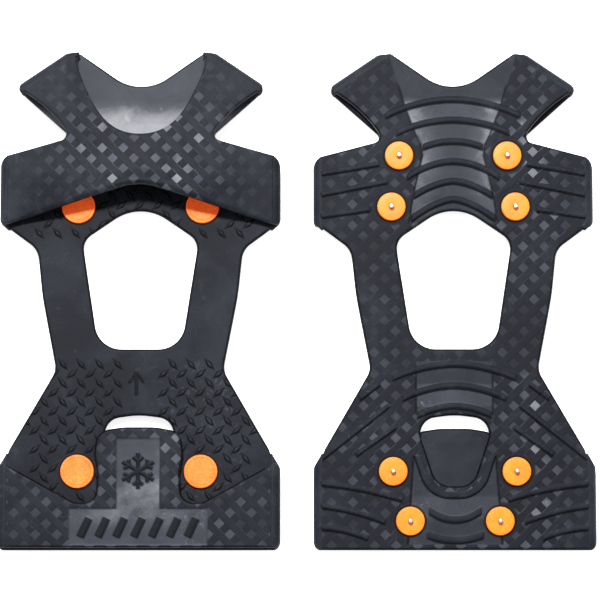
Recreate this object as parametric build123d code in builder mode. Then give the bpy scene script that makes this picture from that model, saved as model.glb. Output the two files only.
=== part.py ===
from build123d import *
import os

# A pair of slip-on shoe ice cleats, lying flat with their toes towards +Y.
# The left cleat stands on its studs, foot side up. The right cleat is the same
# design turned over, so that its tread and its studs face up.
# Origin: on the floor, midway between the two cleats and between toe and heel.
# All sizes are in millimetres.

os.makedirs("parts", exist_ok=True)

# Overall sizes of one cleat, unstretched
cleat_length = 244.0
cleat_width = 137.0
cleat_gap = 16.0  # free floor between the two cleats

# Rubber moulding
rubber = 3.0  # wall of the sole and of both straps
fold_slit = 0.3  # the two sides of a fold lie this far apart
corner_round = 2.5  # corners of the outline that have no radius of their own

# Studs: steel pin, outer disc with its shank, inner cap
disc_radius = 6.9
disc_height = 1.6
cap_radius = 8.1
cap_height = 1.6
cap_clearance = 0.3  # a strap lies this far above the caps under it
shank_radius = 3.5
pin_radius = 1.2
pin_reach = 2.5  # pin tip beyond the outer disc
head_radius = 2.5
head_height = 0.8
hole_clearance = 0.05
rim_round = 0.5

# Stud places, as half spacing across and distance from the end that they serve
stud_spread = (26.5, 30.3, 29.9, 21.7)
front_stud_inset = (51.2, 76.5)
rear_stud_inset = (38.0, 14.0)

# Toe end, measured from the toe line
horn_half_gap = 30.2  # inner corner of each horn
horn_width = 6.1
horn_round = 3.0
toe_notch_corner = 21.2  # where the two straight sides of the toe notch would meet
toe_notch_round = 22.0
wing_half_span = 61.8
wing_corner = 17.4
notch_half_span = 33.1  # inner end of the notch between wing and side arm
notch_inset = 43.1
notch_round = 3.0
arm_front = 52.4
arm_round = 5.0
arm_rear = 85.4
arm_root = 97.0  # where the rear edge of the arm meets the waist
arm_root_half = 50.2
arm_root_round = 10.0

# Waist
waist_mid_half = 47.8
waist_mid = 2.0
waist_mid_round = 122.0
waist_narrow_half = 40.7
waist_narrow_inset = 87.4  # from the heel line
waist_flare_half = 62.8
waist_flare_inset = 49.2
waist_narrow_round = 9.0
waist_flare_round = 7.5
heel_corner_inset = 41.2

# Waist opening
opening_apex = 48.1
opening_top_half = 28.3
opening_top = 28.8
opening_bottom_half = 20.1
opening_bottom = -24.3
opening_apex_round = 22.0
opening_top_round = 8.0
opening_bottom_round = 13.0

# Heel opening, measured from the heel line
heel_hole_top = 65.6
heel_hole_shoulder = 63.0
heel_hole_bottom = 30.9
heel_hole_half_top = 19.2
heel_hole_half_bottom = 8.6
heel_hole_apex_round = 40.0
heel_hole_top_round = 8.0
heel_hole_bottom_round = 9.0

# Toe harness, measured from the toe line
throat_depth = 42.0  # bottom of the U that the toe of the shoe shows through
throat_points = ((16.7, 35.2), (26.2, 20.0), (31.1, 3.4))  # half width, inset
harness_rear_mid = 66.0
harness_rear_side = 86.0
harness_rear_round = 30.0
harness_arch_rear = 13.0  # how far the left harness stands up at its rear edge
harness_arch_toe = 3.0

# Heel band and pull tab, measured from the heel line
band_inset = 1.0  # the band stops short of the sole's rear edge
band_side_rise = 43.6
band_valley_half = 31.0
band_valley_rise = 22.8
band_valley_round = 6.0
tab_root_rise = 29.0
tab_root_half = 20.4
tab_neck_half = 20.0
tab_neck_rise = 37.0
tab_head_half = 21.6
tab_head_rise = 46.0
tab_shoulder_half = 20.2
tab_shoulder_rise = 57.0
tab_crown_half = 8.5
tab_top_rise = 59.3
tab_round = 7.5
tab_crown_round = 40.0

# Worked-out levels, counted up from the floor for a cleat that stands on its pins
toe = cleat_length / 2
heel = -cleat_length / 2
half_width = cleat_width / 2
sole_under = pin_reach + disc_height
sole_top = sole_under + rubber
strap_under = sole_top + cap_height + cap_clearance
strap_top = strap_under + rubber
fold_mid = (sole_top + strap_under) / 2
lip_height = fold_mid - fold_slit / 2 - sole_top
head_under = sole_top + hole_clearance * 2
head_top = head_under + head_height

studs = [
    (side * spread, y)
    for spread, y in zip(
        stud_spread,
        [toe - inset for inset in front_stud_inset] + [heel + inset for inset in rear_stud_inset],
    )
    for side in (-1, 1)
]

cleat_offset = (cleat_width + cleat_gap) / 2
left_cleat = Plane(origin=(-cleat_offset, 0, 0), x_dir=(1, 0, 0), z_dir=(0, 0, 1))
right_cleat = Plane(origin=(cleat_offset, 0, strap_top), x_dir=(-1, 0, 0), z_dir=(0, 0, -1))


def across(cleat, y):
    """The upright plane across the cleat at y, with sketch x across it and sketch y up from its floor."""
    return Plane(cleat.from_local_coords((0, y, 0)), x_dir=cleat.x_dir, z_dir=-cleat.y_dir)


def cleat_outline():
    """Lines of the sole's outline: toe notch, horns, wings, side arms, waist and heel."""
    right_corners = [
        (horn_half_gap, toe, horn_round),
        (horn_half_gap + horn_width, toe, rubber / 2),
        (wing_half_span, toe - wing_corner, corner_round),
        (notch_half_span, toe - notch_inset, notch_round),
        (half_width, toe - arm_front, arm_round),
        (half_width, toe - arm_rear, corner_round),
        (arm_root_half, toe - arm_root, arm_root_round),
        (waist_mid_half, waist_mid, waist_mid_round),
        (waist_narrow_half, heel + waist_narrow_inset, waist_narrow_round),
        (waist_flare_half, heel + waist_flare_inset, waist_flare_round),
        (half_width, heel + heel_corner_inset, corner_round),
        (half_width, heel, corner_round),
    ]
    left_corners = [(-x, y, radius) for x, y, radius in reversed(right_corners)]
    corners = [(0, toe - toe_notch_corner, toe_notch_round)] + right_corners + left_corners
    with BuildLine() as outline:
        FilletPolyline(
            *[(x, y) for x, y, _ in corners],
            radius=[radius for _, _, radius in corners],
            close=True,
        )
    return outline


def wing_fold():
    """Middle, angle and length of the slanting strip where the right wing folds over."""
    start = Vector(horn_half_gap + horn_width, toe)
    end = Vector(wing_half_span, toe - wing_corner)
    along = end - start
    inward = Vector(along.Y, -along.X).normalized() * rubber / 2
    return (start + end) / 2 + inward, along.get_signed_angle(Vector(1, 0)), along.length


def toe_lips(cleat, level):
    """The narrow walls by which the toe harness and the sole meet at their four folds."""
    middle, angle, length = wing_fold()
    with BuildSketch(cleat.offset(level)) as lips:
        for side in (-1, 1):
            with Locations((side * (half_width - rubber / 2), toe - (arm_front + arm_rear) / 2)):
                Rectangle(rubber, arm_rear - arm_front - corner_round * 4)
            with Locations(Location((side * middle.X, middle.Y), side * angle)):
                Rectangle(length - corner_round * 3, rubber)
    return lips.sketch


def heel_lips(cleat, level):
    """The narrow walls by which the heel band and the sole meet at their two folds."""
    middle = (half_width - rubber / 2, heel + heel_corner_inset / 2)
    with BuildSketch(cleat.offset(level)) as lips:
        with Locations(middle, (-middle[0], middle[1])):
            Rectangle(rubber, heel_corner_inset - corner_round * 3)
    return lips.sketch


def sole(cleat):
    with BuildPart() as piece:
        with BuildSketch(cleat.offset(sole_under)):
            make_face(cleat_outline().edges())
            with BuildLine():
                FilletPolyline(
                    (0, opening_apex),
                    (opening_top_half, opening_top),
                    (opening_bottom_half, opening_bottom),
                    (-opening_bottom_half, opening_bottom),
                    (-opening_top_half, opening_top),
                    radius=(
                        opening_apex_round,
                        opening_top_round,
                        opening_bottom_round,
                        opening_bottom_round,
                        opening_top_round,
                    ),
                    close=True,
                )
            make_face(mode=Mode.SUBTRACT)
            with BuildLine():
                FilletPolyline(
                    (0, heel + heel_hole_top),
                    (heel_hole_half_top, heel + heel_hole_shoulder),
                    (heel_hole_half_bottom, heel + heel_hole_bottom),
                    (-heel_hole_half_bottom, heel + heel_hole_bottom),
                    (-heel_hole_half_top, heel + heel_hole_shoulder),
                    radius=(
                        heel_hole_apex_round,
                        heel_hole_top_round,
                        heel_hole_bottom_round,
                        heel_hole_bottom_round,
                        heel_hole_top_round,
                    ),
                    close=True,
                )
            make_face(mode=Mode.SUBTRACT)
            with Locations(*studs):
                Circle(shank_radius + hole_clearance, mode=Mode.SUBTRACT)
        extrude(amount=rubber)
        extrude(toe_lips(cleat, sole_top), amount=lip_height)
        extrude(heel_lips(cleat, sole_top), amount=lip_height)
    return piece


def toe_harness(cleat, arch_rear, arch_toe):
    """The toe strap: a sheet that arches between its folds, with a U cut out for the toe of the shoe."""
    with BuildPart() as piece:
        for y, arch in ((toe - harness_rear_side - rubber, arch_rear), (toe + rubber, arch_toe)):
            with BuildSketch(across(cleat, y)):
                with BuildLine():
                    edge = half_width + rubber
                    low = [(-edge, strap_under), (0, strap_under + arch), (edge, strap_under)]
                    high = [(x, z + rubber) for x, z in low]
                    Spline(*low, tangents=((1, 0), (1, 0)))
                    Line(low[2], high[2])
                    Spline(*high, tangents=((1, 0), (1, 0)))
                    Line(high[0], low[0])
                make_face()
        loft()
        with BuildSketch(cleat):
            make_face(cleat_outline().edges())
            with BuildLine():
                FilletPolyline(
                    (-half_width, toe - harness_rear_side),
                    (0, toe - harness_rear_mid),
                    (half_width, toe - harness_rear_side),
                    (half_width, toe),
                    (-half_width, toe),
                    radius=(0, harness_rear_round, 0, 0, 0),
                    close=True,
                )
            make_face(mode=Mode.INTERSECT)
            with BuildLine() as throat:
                side_points = [(half, toe - inset) for half, inset in throat_points]
                tip = (horn_half_gap, toe + rubber)
                Spline((0, toe - throat_depth), *side_points, tip, tangents=((1, 0), (0, 1)))
                Line((horn_half_gap, toe + rubber), (0, toe + rubber))
                mirror(throat.edges(), about=Plane.YZ)
            make_face(mode=Mode.SUBTRACT)
        extrude(amount=strap_top + arch_rear + rubber, mode=Mode.INTERSECT)
        extrude(toe_lips(cleat, strap_under - lip_height), amount=lip_height + rubber)
    return piece


def heel_band(cleat):
    """The strap behind the heel, up to the root of its pull tab."""
    with BuildPart() as piece:
        with BuildSketch(cleat.offset(strap_under)):
            with BuildLine() as outline:
                FilletPolyline(
                    (0, heel + tab_root_rise),
                    (tab_root_half, heel + tab_root_rise),
                    (tab_root_half, heel + band_valley_rise),
                    (band_valley_half, heel + band_valley_rise),
                    (half_width, heel + band_side_rise),
                    (half_width, heel + band_inset),
                    (0, heel + band_inset),
                    radius=(0, band_valley_round, band_valley_round, corner_round, corner_round),
                )
                mirror(outline.edges(), about=Plane.YZ)
            make_face()
        extrude(amount=rubber)
        extrude(heel_lips(cleat, strap_under - lip_height), amount=lip_height)
    return piece


def pull_tab(cleat):
    """The finger tab that stands up from the middle of the heel band."""
    with BuildPart() as piece:
        with BuildSketch(cleat.offset(strap_under)):
            with BuildLine() as outline:
                FilletPolyline(
                    (0, heel + tab_root_rise + fold_slit),
                    (tab_root_half, heel + tab_root_rise + fold_slit),
                    (tab_neck_half, heel + tab_neck_rise),
                    (tab_head_half, heel + tab_head_rise),
                    (tab_shoulder_half, heel + tab_shoulder_rise),
                    (tab_crown_half, heel + tab_top_rise),
                    (0, heel + tab_top_rise),
                    radius=(0, tab_round, tab_round, tab_round, tab_crown_round),
                )
                mirror(outline.edges(), about=Plane.YZ)
            make_face()
        extrude(amount=rubber)
    return piece


def stud_disc(cleat, place):
    """The outer disc and the hollow shank that goes through the rubber into the cap."""
    with BuildPart() as piece:
        with BuildSketch(cleat.offset(pin_reach)):
            with Locations(place):
                Circle(disc_radius)
        extrude(amount=disc_height)
        rim = piece.edges().sort_by(Axis(cleat.origin, cleat.z_dir))[0]
        fillet(rim, radius=rim_round)
        with BuildSketch(cleat.offset(sole_under)):
            with Locations(place):
                Circle(shank_radius)
        extrude(amount=head_top - sole_under)
        with BuildSketch(cleat.offset(pin_reach)):
            with Locations(place):
                Circle(pin_radius + hole_clearance)
        extrude(amount=head_top - pin_reach, mode=Mode.SUBTRACT)
        with BuildSketch(cleat.offset(head_under)):
            with Locations(place):
                Circle(head_radius + hole_clearance)
        extrude(amount=head_height, mode=Mode.SUBTRACT)
    return piece


def stud_pin(cleat, place):
    """The steel pin, with a flat head that the cap holds down."""
    with BuildPart() as piece:
        with BuildSketch(cleat):
            with Locations(place):
                Circle(pin_radius)
        extrude(amount=head_top)
        tip = piece.edges().sort_by(Axis(cleat.origin, cleat.z_dir))[0]
        fillet(tip, radius=pin_radius / 2)
        with BuildSketch(cleat.offset(head_under)):
            with Locations(place):
                Circle(head_radius)
        extrude(amount=head_height)
    return piece


def stud_cap(cleat, place):
    """The inner cap, with a blind socket for the end of the shank."""
    with BuildPart() as piece:
        with BuildSketch(cleat.offset(sole_top)):
            with Locations(place):
                Circle(cap_radius)
        extrude(amount=cap_height)
        rim = piece.edges().sort_by(Axis(cleat.origin, cleat.z_dir))[-1]
        fillet(rim, radius=rim_round)
        with BuildSketch(cleat.offset(sole_top)):
            with Locations(place):
                Circle(shank_radius + hole_clearance)
        extrude(amount=head_top - sole_top, mode=Mode.SUBTRACT)
    return piece


# The left harness arches up. The right one is pressed flat by the cleat that lies on it.
cleats = {
    "left": (left_cleat, harness_arch_rear, harness_arch_toe),
    "right": (right_cleat, 0, 0),
}

for side, (cleat, arch_rear, arch_toe) in cleats.items():
    pieces = {
        "sole": sole(cleat),
        "toe_harness": toe_harness(cleat, arch_rear, arch_toe),
        "heel_band": heel_band(cleat),
        "pull_tab": pull_tab(cleat),
    }
    for number, place in enumerate(studs, start=1):
        pieces[f"stud_{number}_disc"] = stud_disc(cleat, place)
        pieces[f"stud_{number}_pin"] = stud_pin(cleat, place)
        pieces[f"stud_{number}_cap"] = stud_cap(cleat, place)
    for name, piece in pieces.items():
        piece.part.label = f"{side}_{name}"
        export_step(piece.part, f"parts/{side}_{name}.step")
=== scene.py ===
"""Shoe ice cleats: a pair of slip-on rubber cleats, the left one foot side up, the right one tread side up."""

import math

import bmesh
import bpy
import numpy as np
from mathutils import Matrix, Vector, geometry
from mathutils.bvhtree import BVHTree
from mathutils.kdtree import KDTree


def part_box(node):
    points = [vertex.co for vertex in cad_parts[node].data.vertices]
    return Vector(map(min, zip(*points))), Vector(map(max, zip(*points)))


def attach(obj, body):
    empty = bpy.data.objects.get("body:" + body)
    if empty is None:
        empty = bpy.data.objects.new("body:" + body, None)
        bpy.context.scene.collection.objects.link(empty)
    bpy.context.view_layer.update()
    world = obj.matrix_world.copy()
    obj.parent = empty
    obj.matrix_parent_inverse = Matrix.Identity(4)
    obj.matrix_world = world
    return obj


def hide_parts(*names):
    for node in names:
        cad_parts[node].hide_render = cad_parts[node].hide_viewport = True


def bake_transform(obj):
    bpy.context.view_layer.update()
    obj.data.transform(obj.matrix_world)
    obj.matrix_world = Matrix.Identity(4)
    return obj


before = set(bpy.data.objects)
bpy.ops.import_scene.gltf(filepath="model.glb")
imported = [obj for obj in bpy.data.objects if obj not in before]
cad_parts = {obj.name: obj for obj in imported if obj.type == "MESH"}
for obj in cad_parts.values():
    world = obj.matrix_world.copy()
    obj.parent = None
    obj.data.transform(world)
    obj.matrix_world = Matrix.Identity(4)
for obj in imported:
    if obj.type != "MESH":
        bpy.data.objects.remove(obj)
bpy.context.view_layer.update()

# Everything below is worked out in one cleat's own millimetres: x across, y towards the toe and
# measured from mid-length, z up from the floor that the studs stand on. place() puts it in the frame.
MM = 0.001


def box_mm(node):
    low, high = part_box(node)
    return np.array(low) / MM, np.array(high) / MM


left_low, left_high = box_mm("left_sole")
tab_low, tab_high = box_mm("left_pull_tab")
CLEAT_X = -(left_low[0] + left_high[0]) / 2
HALF_WIDTH = (left_high[0] - left_low[0]) / 2
TOE, HEEL = left_high[1], left_low[1]
STACK = box_mm("right_stud_1_pin")[1][2]
SOLE_UNDER = left_low[2]
STRAP_UNDER, STRAP_TOP = tab_low[2], tab_high[2]
RUBBER = STRAP_TOP - STRAP_UNDER
SOLE_TOP = SOLE_UNDER + RUBBER
TAB_ROOT = tab_low[1]
STUDS = []
for number in range(1, 9):
    low, high = box_mm(f"left_stud_{number}_cap")
    STUDS.append(((low[0] + high[0]) / 2 + CLEAT_X, (low[1] + high[1]) / 2))
CAP_RADIUS = (high[0] - low[0]) / 2
CAP_TOP = high[2]
disc_low, disc_high = box_mm("left_stud_1_disc")
DISC_RADIUS = (disc_high[0] - disc_low[0]) / 2
DISC_UNDER, SHANK_TOP = disc_low[2], disc_high[2]
pin_low, pin_high = box_mm("left_stud_1_pin")
HEAD_RADIUS = (pin_high[0] - pin_low[0]) / 2
HEAD_HEIGHT = 0.8
HEAD_UNDER = SHANK_TOP - HEAD_HEIGHT
PIN_RADIUS = 1.2
SHANK_RADIUS = 3.5
SHANK_CLEARANCE = 0.05

# Mesh fineness and edges
GRID = 0.5
EDGE_ROUND = 1.3
EDGE_ROWS = (0.2, 0.6, 1.15)  # rows of points that follow the outline, by their depth inside it

# Folds, where the sole turns over into a strap
FOLD_OUTER = (STRAP_TOP - SOLE_UNDER) / 2
FOLD_INNER = (STRAP_UNDER - SOLE_TOP) / 2
FOLD_MID = (SOLE_TOP + STRAP_UNDER) / 2
FOLD_TUCK = 0.9  # a sheet reaches this far into its fold
BEND_ROWS, FOLD_COLUMNS = 25, 12  # rows of points round the bend, columns along it
WING_GAP = 2.2  # the upper layer draws back this far along the open edge of a wing
WING_GAP_REACH = 9
REAR_LEAN = 0.75  # how far the cut rear edge of the harness leans, per unit of height
TAB_BEND = 4  # two points this far to each side of the tab's root are worked out but not used
REAR_FLARE = 2.2  # how far the rear edge of the left harness turns up beyond its arch


# ---------------------------------------------------------------- small maths


def smooth(t):
    t = np.clip(t, 0, 1)
    return t * t * (3 - 2 * t)


def ramp(value, start, end):
    return smooth((value - start) / (end - start))


def hump(value, centre, reach):
    """1 at the centre, fading to nothing over about twice the reach."""
    return np.exp(-(((value - centre) / reach) ** 2))


def plateau(value, low, high, soft):
    """1 between low and high, falling to 0 over soft outside them."""
    return ramp(value, low - soft, low) * (1 - ramp(value, high, high + soft))


# ---------------------------------------------------------------- outlines from the frame


def to_cleat(side, x, y):
    return (x / MM + CLEAT_X, y / MM) if side == "left" else (CLEAT_X - x / MM, y / MM)


def plan_loops(node, upward):
    """The closed outlines, in the cleat's x and y, of a CAD node's faces that look up or down."""
    side = node.split("_")[0]
    mesh = bmesh.new()
    mesh.from_mesh(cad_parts[node].data)
    bmesh.ops.remove_doubles(mesh, verts=mesh.verts, dist=1e-6)
    mesh.normal_update()
    heights = [f.calc_center_median().z for f in mesh.faces if f.normal.z * upward > 0.9]
    level = max(h * upward for h in heights)
    chosen = {f for f in mesh.faces if f.normal.z * upward > 0.5 and f.calc_center_median().z * upward > level - 5e-4}
    follow = {}
    for face in chosen:
        for loop in face.loops:
            if sum(f in chosen for f in loop.edge.link_faces) == 1:
                follow[loop.vert.index] = loop.link_loop_next.vert.index
    mesh.verts.ensure_lookup_table()
    loops = []
    while follow:
        start = next(iter(follow))
        ring = [start]
        at = follow.pop(start)
        while at != start:
            ring.append(at)
            at = follow.pop(at)
        points = np.array([to_cleat(side, *mesh.verts[i].co.xy) for i in ring])
        loops.append(points)
    mesh.free()
    return sorted((anticlockwise(p) for p in loops), key=lambda p: -abs(area(p)))


def area(points):
    x, y = points.T
    return 0.5 * np.sum(x * np.roll(y, -1) - y * np.roll(x, -1))


def anticlockwise(points):
    return points if area(points) > 0 else points[::-1]


def resample(points, step):
    """The closed line with points about one step apart, its corners kept."""
    ahead = np.roll(points, -1, 0) - points
    points = points[np.hypot(*ahead.T) > 1e-3]
    ahead = np.roll(points, -1, 0) - points
    heading = np.arctan2(ahead[:, 1], ahead[:, 0])
    turn = np.abs((heading - np.roll(heading, 1) + np.pi) % (2 * np.pi) - np.pi)
    corners = np.flatnonzero(turn > 0.5)
    if len(corners) == 0:
        corners = np.array([0])
    made = []
    for first, last in zip(corners, np.append(corners[1:], corners[0] + len(points))):
        stretch = points[np.arange(first, last + 1) % len(points)]
        along = np.concatenate([[0], np.cumsum(np.hypot(*np.diff(stretch, axis=0).T))])
        count = max(1, round(along[-1] / step))
        at = np.linspace(0, along[-1], count + 1)[:-1]
        made.append(np.column_stack([np.interp(at, along, stretch[:, 0]), np.interp(at, along, stretch[:, 1])]))
    return np.concatenate(made)


def crossings_inside(points, loops):
    """Whether each point lies inside the loops, by the even-odd rule."""
    inside = np.zeros(len(points), bool)
    for loop in loops:
        ax, ay = loop.T
        bx, by = np.roll(loop, -1, 0).T
        for part in range(0, len(points), 4000):
            x, y = points[part : part + 4000].T
            spans = (ay[None] > y[:, None]) != (by[None] > y[:, None])
            with np.errstate(divide="ignore", invalid="ignore"):
                at = ax + (y[:, None] - ay) * (bx - ax) / (by - ay)
            inside[part : part + 4000] ^= (spans & (at > x[:, None])).sum(1) % 2 == 1
    return inside


def tree_of(loops, step=0.15):
    dense = np.concatenate([resample(loop, step) for loop in loops])
    tree = KDTree(len(dense))
    for index, (x, y) in enumerate(dense):
        tree.insert((x, y, 0), index)
    tree.balance()
    return tree


def distances(points, tree):
    return np.array([tree.find((x, y, 0))[2] for x, y in points])


# ---------------------------------------------------------------- folds


class Fold:
    """A straight edge where the rubber turns over: a point on it, the way out and the way along."""

    def __init__(self, name, point, out):
        self.name = name
        self.point = np.array(point, float)
        self.out = np.array(out, float) / np.hypot(*out)
        self.along = np.array([-self.out[1], self.out[0]])

    def clamp(self, points, region):
        """Pulls the points of that region back to where the fold begins."""
        beyond = (points - self.point) @ self.out + FOLD_OUTER - FOLD_TUCK
        excess = np.where(region(points), np.maximum(beyond, 0), 0)
        return points - excess[:, None] * self.out

    def span(self, loop, depth):
        """How far the outline reaches along the fold, both ways, at a depth inside its edge."""
        n = (loop - self.point) @ self.out + depth
        t = (loop - self.point) @ self.along
        n2, t2 = np.roll(n, -1), np.roll(t, -1)
        cross = (n > 0) != (n2 > 0)
        at = t[cross] + (t2[cross] - t[cross]) * n[cross] / (n[cross] - n2[cross])
        return at[at < 0].max(), at[at > 0].min()


# Where the right wing's slanting edge is looked for: further out than this, and this close to the toe
WING_INNER, WING_LENGTH = 33, 22

sole_loops = [loop for loop in plan_loops("left_sole", -1) if abs(area(loop)) > 400]
harness_loops = plan_loops("right_toe_harness", -1)[:1]
band_loop = plan_loops("left_heel_band", 1)[0]
tab_loop = plan_loops("left_pull_tab", 1)[0]

# The slanting fold edge runs between the two corners of the right wing, and the side folds are upright.
outline = sole_loops[0]
heading = np.roll(outline, -1, 0) - outline
lengths = np.hypot(*heading.T)
in_wing = (outline[:, 0] > WING_INNER) & (outline[:, 1] > TOE - WING_LENGTH) & (heading[:, 0] * heading[:, 1] < 0)
wing_edge = max(np.flatnonzero(in_wing), key=lambda i: lengths[i])
wing_start, wing_end = outline[wing_edge], outline[(wing_edge + 1) % len(outline)]
wing_mid = (wing_start + wing_end) / 2
wing_out = np.array([abs(wing_end[1] - wing_start[1]), abs(wing_end[0] - wing_start[0])])
side_edges = [i for i in range(len(outline)) if abs(outline[i, 0] - HALF_WIDTH) < 0.01 and abs(heading[i, 0]) < 0.01]
front_edge = max((i for i in side_edges if outline[i, 1] > 0), key=lambda i: lengths[i])
rear_edge = max((i for i in side_edges if outline[i, 1] < 0), key=lambda i: lengths[i])
front_mid = outline[front_edge, 1] + heading[front_edge, 1] / 2
rear_mid = outline[rear_edge, 1] + heading[rear_edge, 1] / 2

FOLDS = {"toe": [], "heel": []}
for name, sign in (("right", 1), ("left", -1)):
    FOLDS["toe"].append(Fold(f"wing_{name}", (sign * wing_mid[0], wing_mid[1]), (sign * wing_out[0], wing_out[1])))
    FOLDS["toe"].append(Fold(f"arm_{name}", (sign * HALF_WIDTH, front_mid), (sign, 0)))
    FOLDS["heel"].append(Fold(f"heel_{name}", (sign * HALF_WIDTH, rear_mid), (sign, 0)))
WING_BASE = TOE - 24
valley = band_loop[(band_loop[:, 0] > 10) & (band_loop[:, 0] < 60) & (band_loop[:, 1] > HEEL + 12)]
VALLEY_HALF = valley[valley[:, 1].argmin(), 0]
notch_zone = outline[(outline[:, 0] > 20) & (outline[:, 1] > TOE - 50) & (outline[:, 1] < TOE - 30)]
wing_rear = (wing_end if wing_end[0] > wing_start[0] else wing_start, notch_zone[notch_zone[:, 0].argmin()])


def pull_in(loop):
    """The outline without the strips that its folds take."""
    for fold in FOLDS["toe"] + FOLDS["heel"]:
        if fold.name.startswith("wing"):
            loop = fold.clamp(loop, lambda p: (p[:, 1] > WING_BASE) & (p[:, 0] * fold.out[0] > 20))
        else:
            loop = fold.clamp(loop, lambda p: p[:, 1] < WING_BASE)
    return loop


def band_with_tab():
    """One outline round the heel band and its pull tab."""
    band, tab = anticlockwise(band_loop), anticlockwise(tab_loop)
    leftward = (band[:, 0] > 0) & (np.roll(band[:, 0], -1) < 0) & (band[:, 1] > HEEL + 20)
    rightward = (tab[:, 0] < 0) & (np.roll(tab[:, 0], -1) > 0) & (tab[:, 1] < TAB_ROOT + 1)
    root, foot = np.flatnonzero(leftward).max(), np.flatnonzero(rightward).max()
    return np.concatenate([np.roll(band, -(root + 1), 0), np.roll(tab, -(foot + 1), 0)])


# ---------------------------------------------------------------- sheets


class Sheet:
    """A flat piece of rubber in plan: fine triangles whose edge rows follow the outline."""

    def __init__(self, loops, grid=GRID):
        loops = [resample(anticlockwise(loop), grid) for loop in loops]
        tree = tree_of(loops)
        rings, edges, start = [], [], 0
        for loop in loops:
            rings.append(loop)
            index = np.arange(len(loop)) + start
            edges += list(zip(index.tolist(), np.roll(index, -1).tolist()))
            start += len(loop)
        self.rim = start
        inner = []
        for sign, loop in zip([1] + [-1] * (len(loops) - 1), loops):
            tangent = np.roll(loop, -1, 0) - np.roll(loop, 1, 0)
            tangent /= np.hypot(*tangent.T)[:, None]
            inward = sign * np.column_stack([-tangent[:, 1], tangent[:, 0]])
            for depth in EDGE_ROWS:
                ring = loop + inward * depth
                inner.append(ring[distances(ring, tree) > depth * 0.93])
        low, high = loops[0].min(0), loops[0].max(0)
        columns = np.arange(-math.ceil(-low[0] / grid), math.ceil(high[0] / grid) + 1) * grid
        rows = np.arange(low[1], high[1], grid)
        mesh = np.stack(np.meshgrid(columns, rows), -1).reshape(-1, 2)
        mesh = mesh[crossings_inside(mesh, loops)]
        inner.append(mesh[distances(mesh, tree) > EDGE_ROWS[-1] + grid * 0.45])
        flat = np.concatenate(rings + inner)
        points, _, faces, *_ = geometry.delaunay_2d_cdt([Vector(p) for p in flat], edges, [], 0, 1e-6, False)
        self.xy = np.array([tuple(p) for p in points])
        faces = np.array(faces)
        doubtful = (faces < self.rim).sum(1) == 3
        keep = ~doubtful
        keep[doubtful] = crossings_inside(self.xy[faces[doubtful]].mean(1), loops)
        self.faces = faces[keep]
        self.depth = distances(self.xy, tree)
        self.depth[: self.rim] = 0

    def skin(self, mid, outer, inner):
        """Points and faces of the closed sheet. outer and inner are heights above and below mid at each point."""
        x, y = self.xy.T
        bulge = np.sqrt(np.clip(1 - (1 - np.clip(self.depth / EDGE_ROUND, 0, 1)) ** 2, 0, 1))
        count = len(x)
        up = np.column_stack([x, y, mid + outer * bulge])
        down = np.column_stack([x, y, mid - inner * bulge])[self.rim :]
        flipped = self.faces[:, ::-1]
        flipped = np.where(flipped < self.rim, flipped, flipped + count - self.rim)
        return np.concatenate([up, down]), np.concatenate([self.faces, flipped])

    def rim_shade(self):
        """Painted shade: above 0 on the rounded rim, but not where the sheet runs on into a fold."""
        x, y = np.abs(self.xy[:, 0]), self.xy[:, 1]
        wing = FOLDS["toe"][0]
        inland = -((np.column_stack([x, y]) - wing.point) @ wing.out)
        free = np.where(y > WING_BASE, ramp(inland, 6, 8), 1 - ramp(x, HALF_WIDTH - 8, HALF_WIDTH - 6))
        return 0.6 * (1 - ramp(self.depth, 0.4, 1.2)) * free

    def both(self, above, below):
        """One value per point of skin(), from the values of its upper and lower side."""
        return np.concatenate([above, below[self.rim :]])


# ---------------------------------------------------------------- relief of the rubber, heights in millimetres

WEAVE_CELL = 3.68  # side of one cell of the weave
WEAVE_STEP = math.sqrt(2) * WEAVE_CELL
LOZENGE_ROWS, LOZENGE_COLUMNS = 4.6, 8.9
LOZENGE_HALF = (2.8, 1.0)
LOZENGE_START = (2.8, -1.9)
LOZENGE_FRONT_STEP = 3.3  # the lozenges of the front half stand this far aside from the rear ones
WEAVE_DEPTH = 0.2
# The weave, in relief and in its painted highlights and shade, is strongest round these places across, within about
# this distance
TREAD_WEAVE_STRONGEST = (-42, 18)
STRAP_WEAVE_STRONGEST = (8, 26)
LOZENGE_LEAN = (math.radians(40), math.radians(-50))  # even rows, odd rows


def weave_cells(x, y):
    """Where a point lies in the 45 degree weave, which repeats every four cells both ways."""
    return (x + y) / WEAVE_STEP % 4, (x - y) / WEAVE_STEP % 4


def weave_squares(a, b):
    """1 in the square gaps, which catch the light, and 1 in the sunken squares of the lower strips."""
    gap = (a % 2 < 1) * 1.0 * (b % 2 < 1)
    sunk = (a % 2 < 1) * 1.0 * (b % 2 > 1)
    return gap, sunk


def weave_bars(a, b):
    """1 on the upper strips, which break off where a lower strip comes to the top."""
    near = (a > 1) * 1.0 * (a < 2) * (b < 3)
    far = (a > 3) * (1.0 - (b > 1) * 1.0 * (b < 2))
    return near + far


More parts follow.
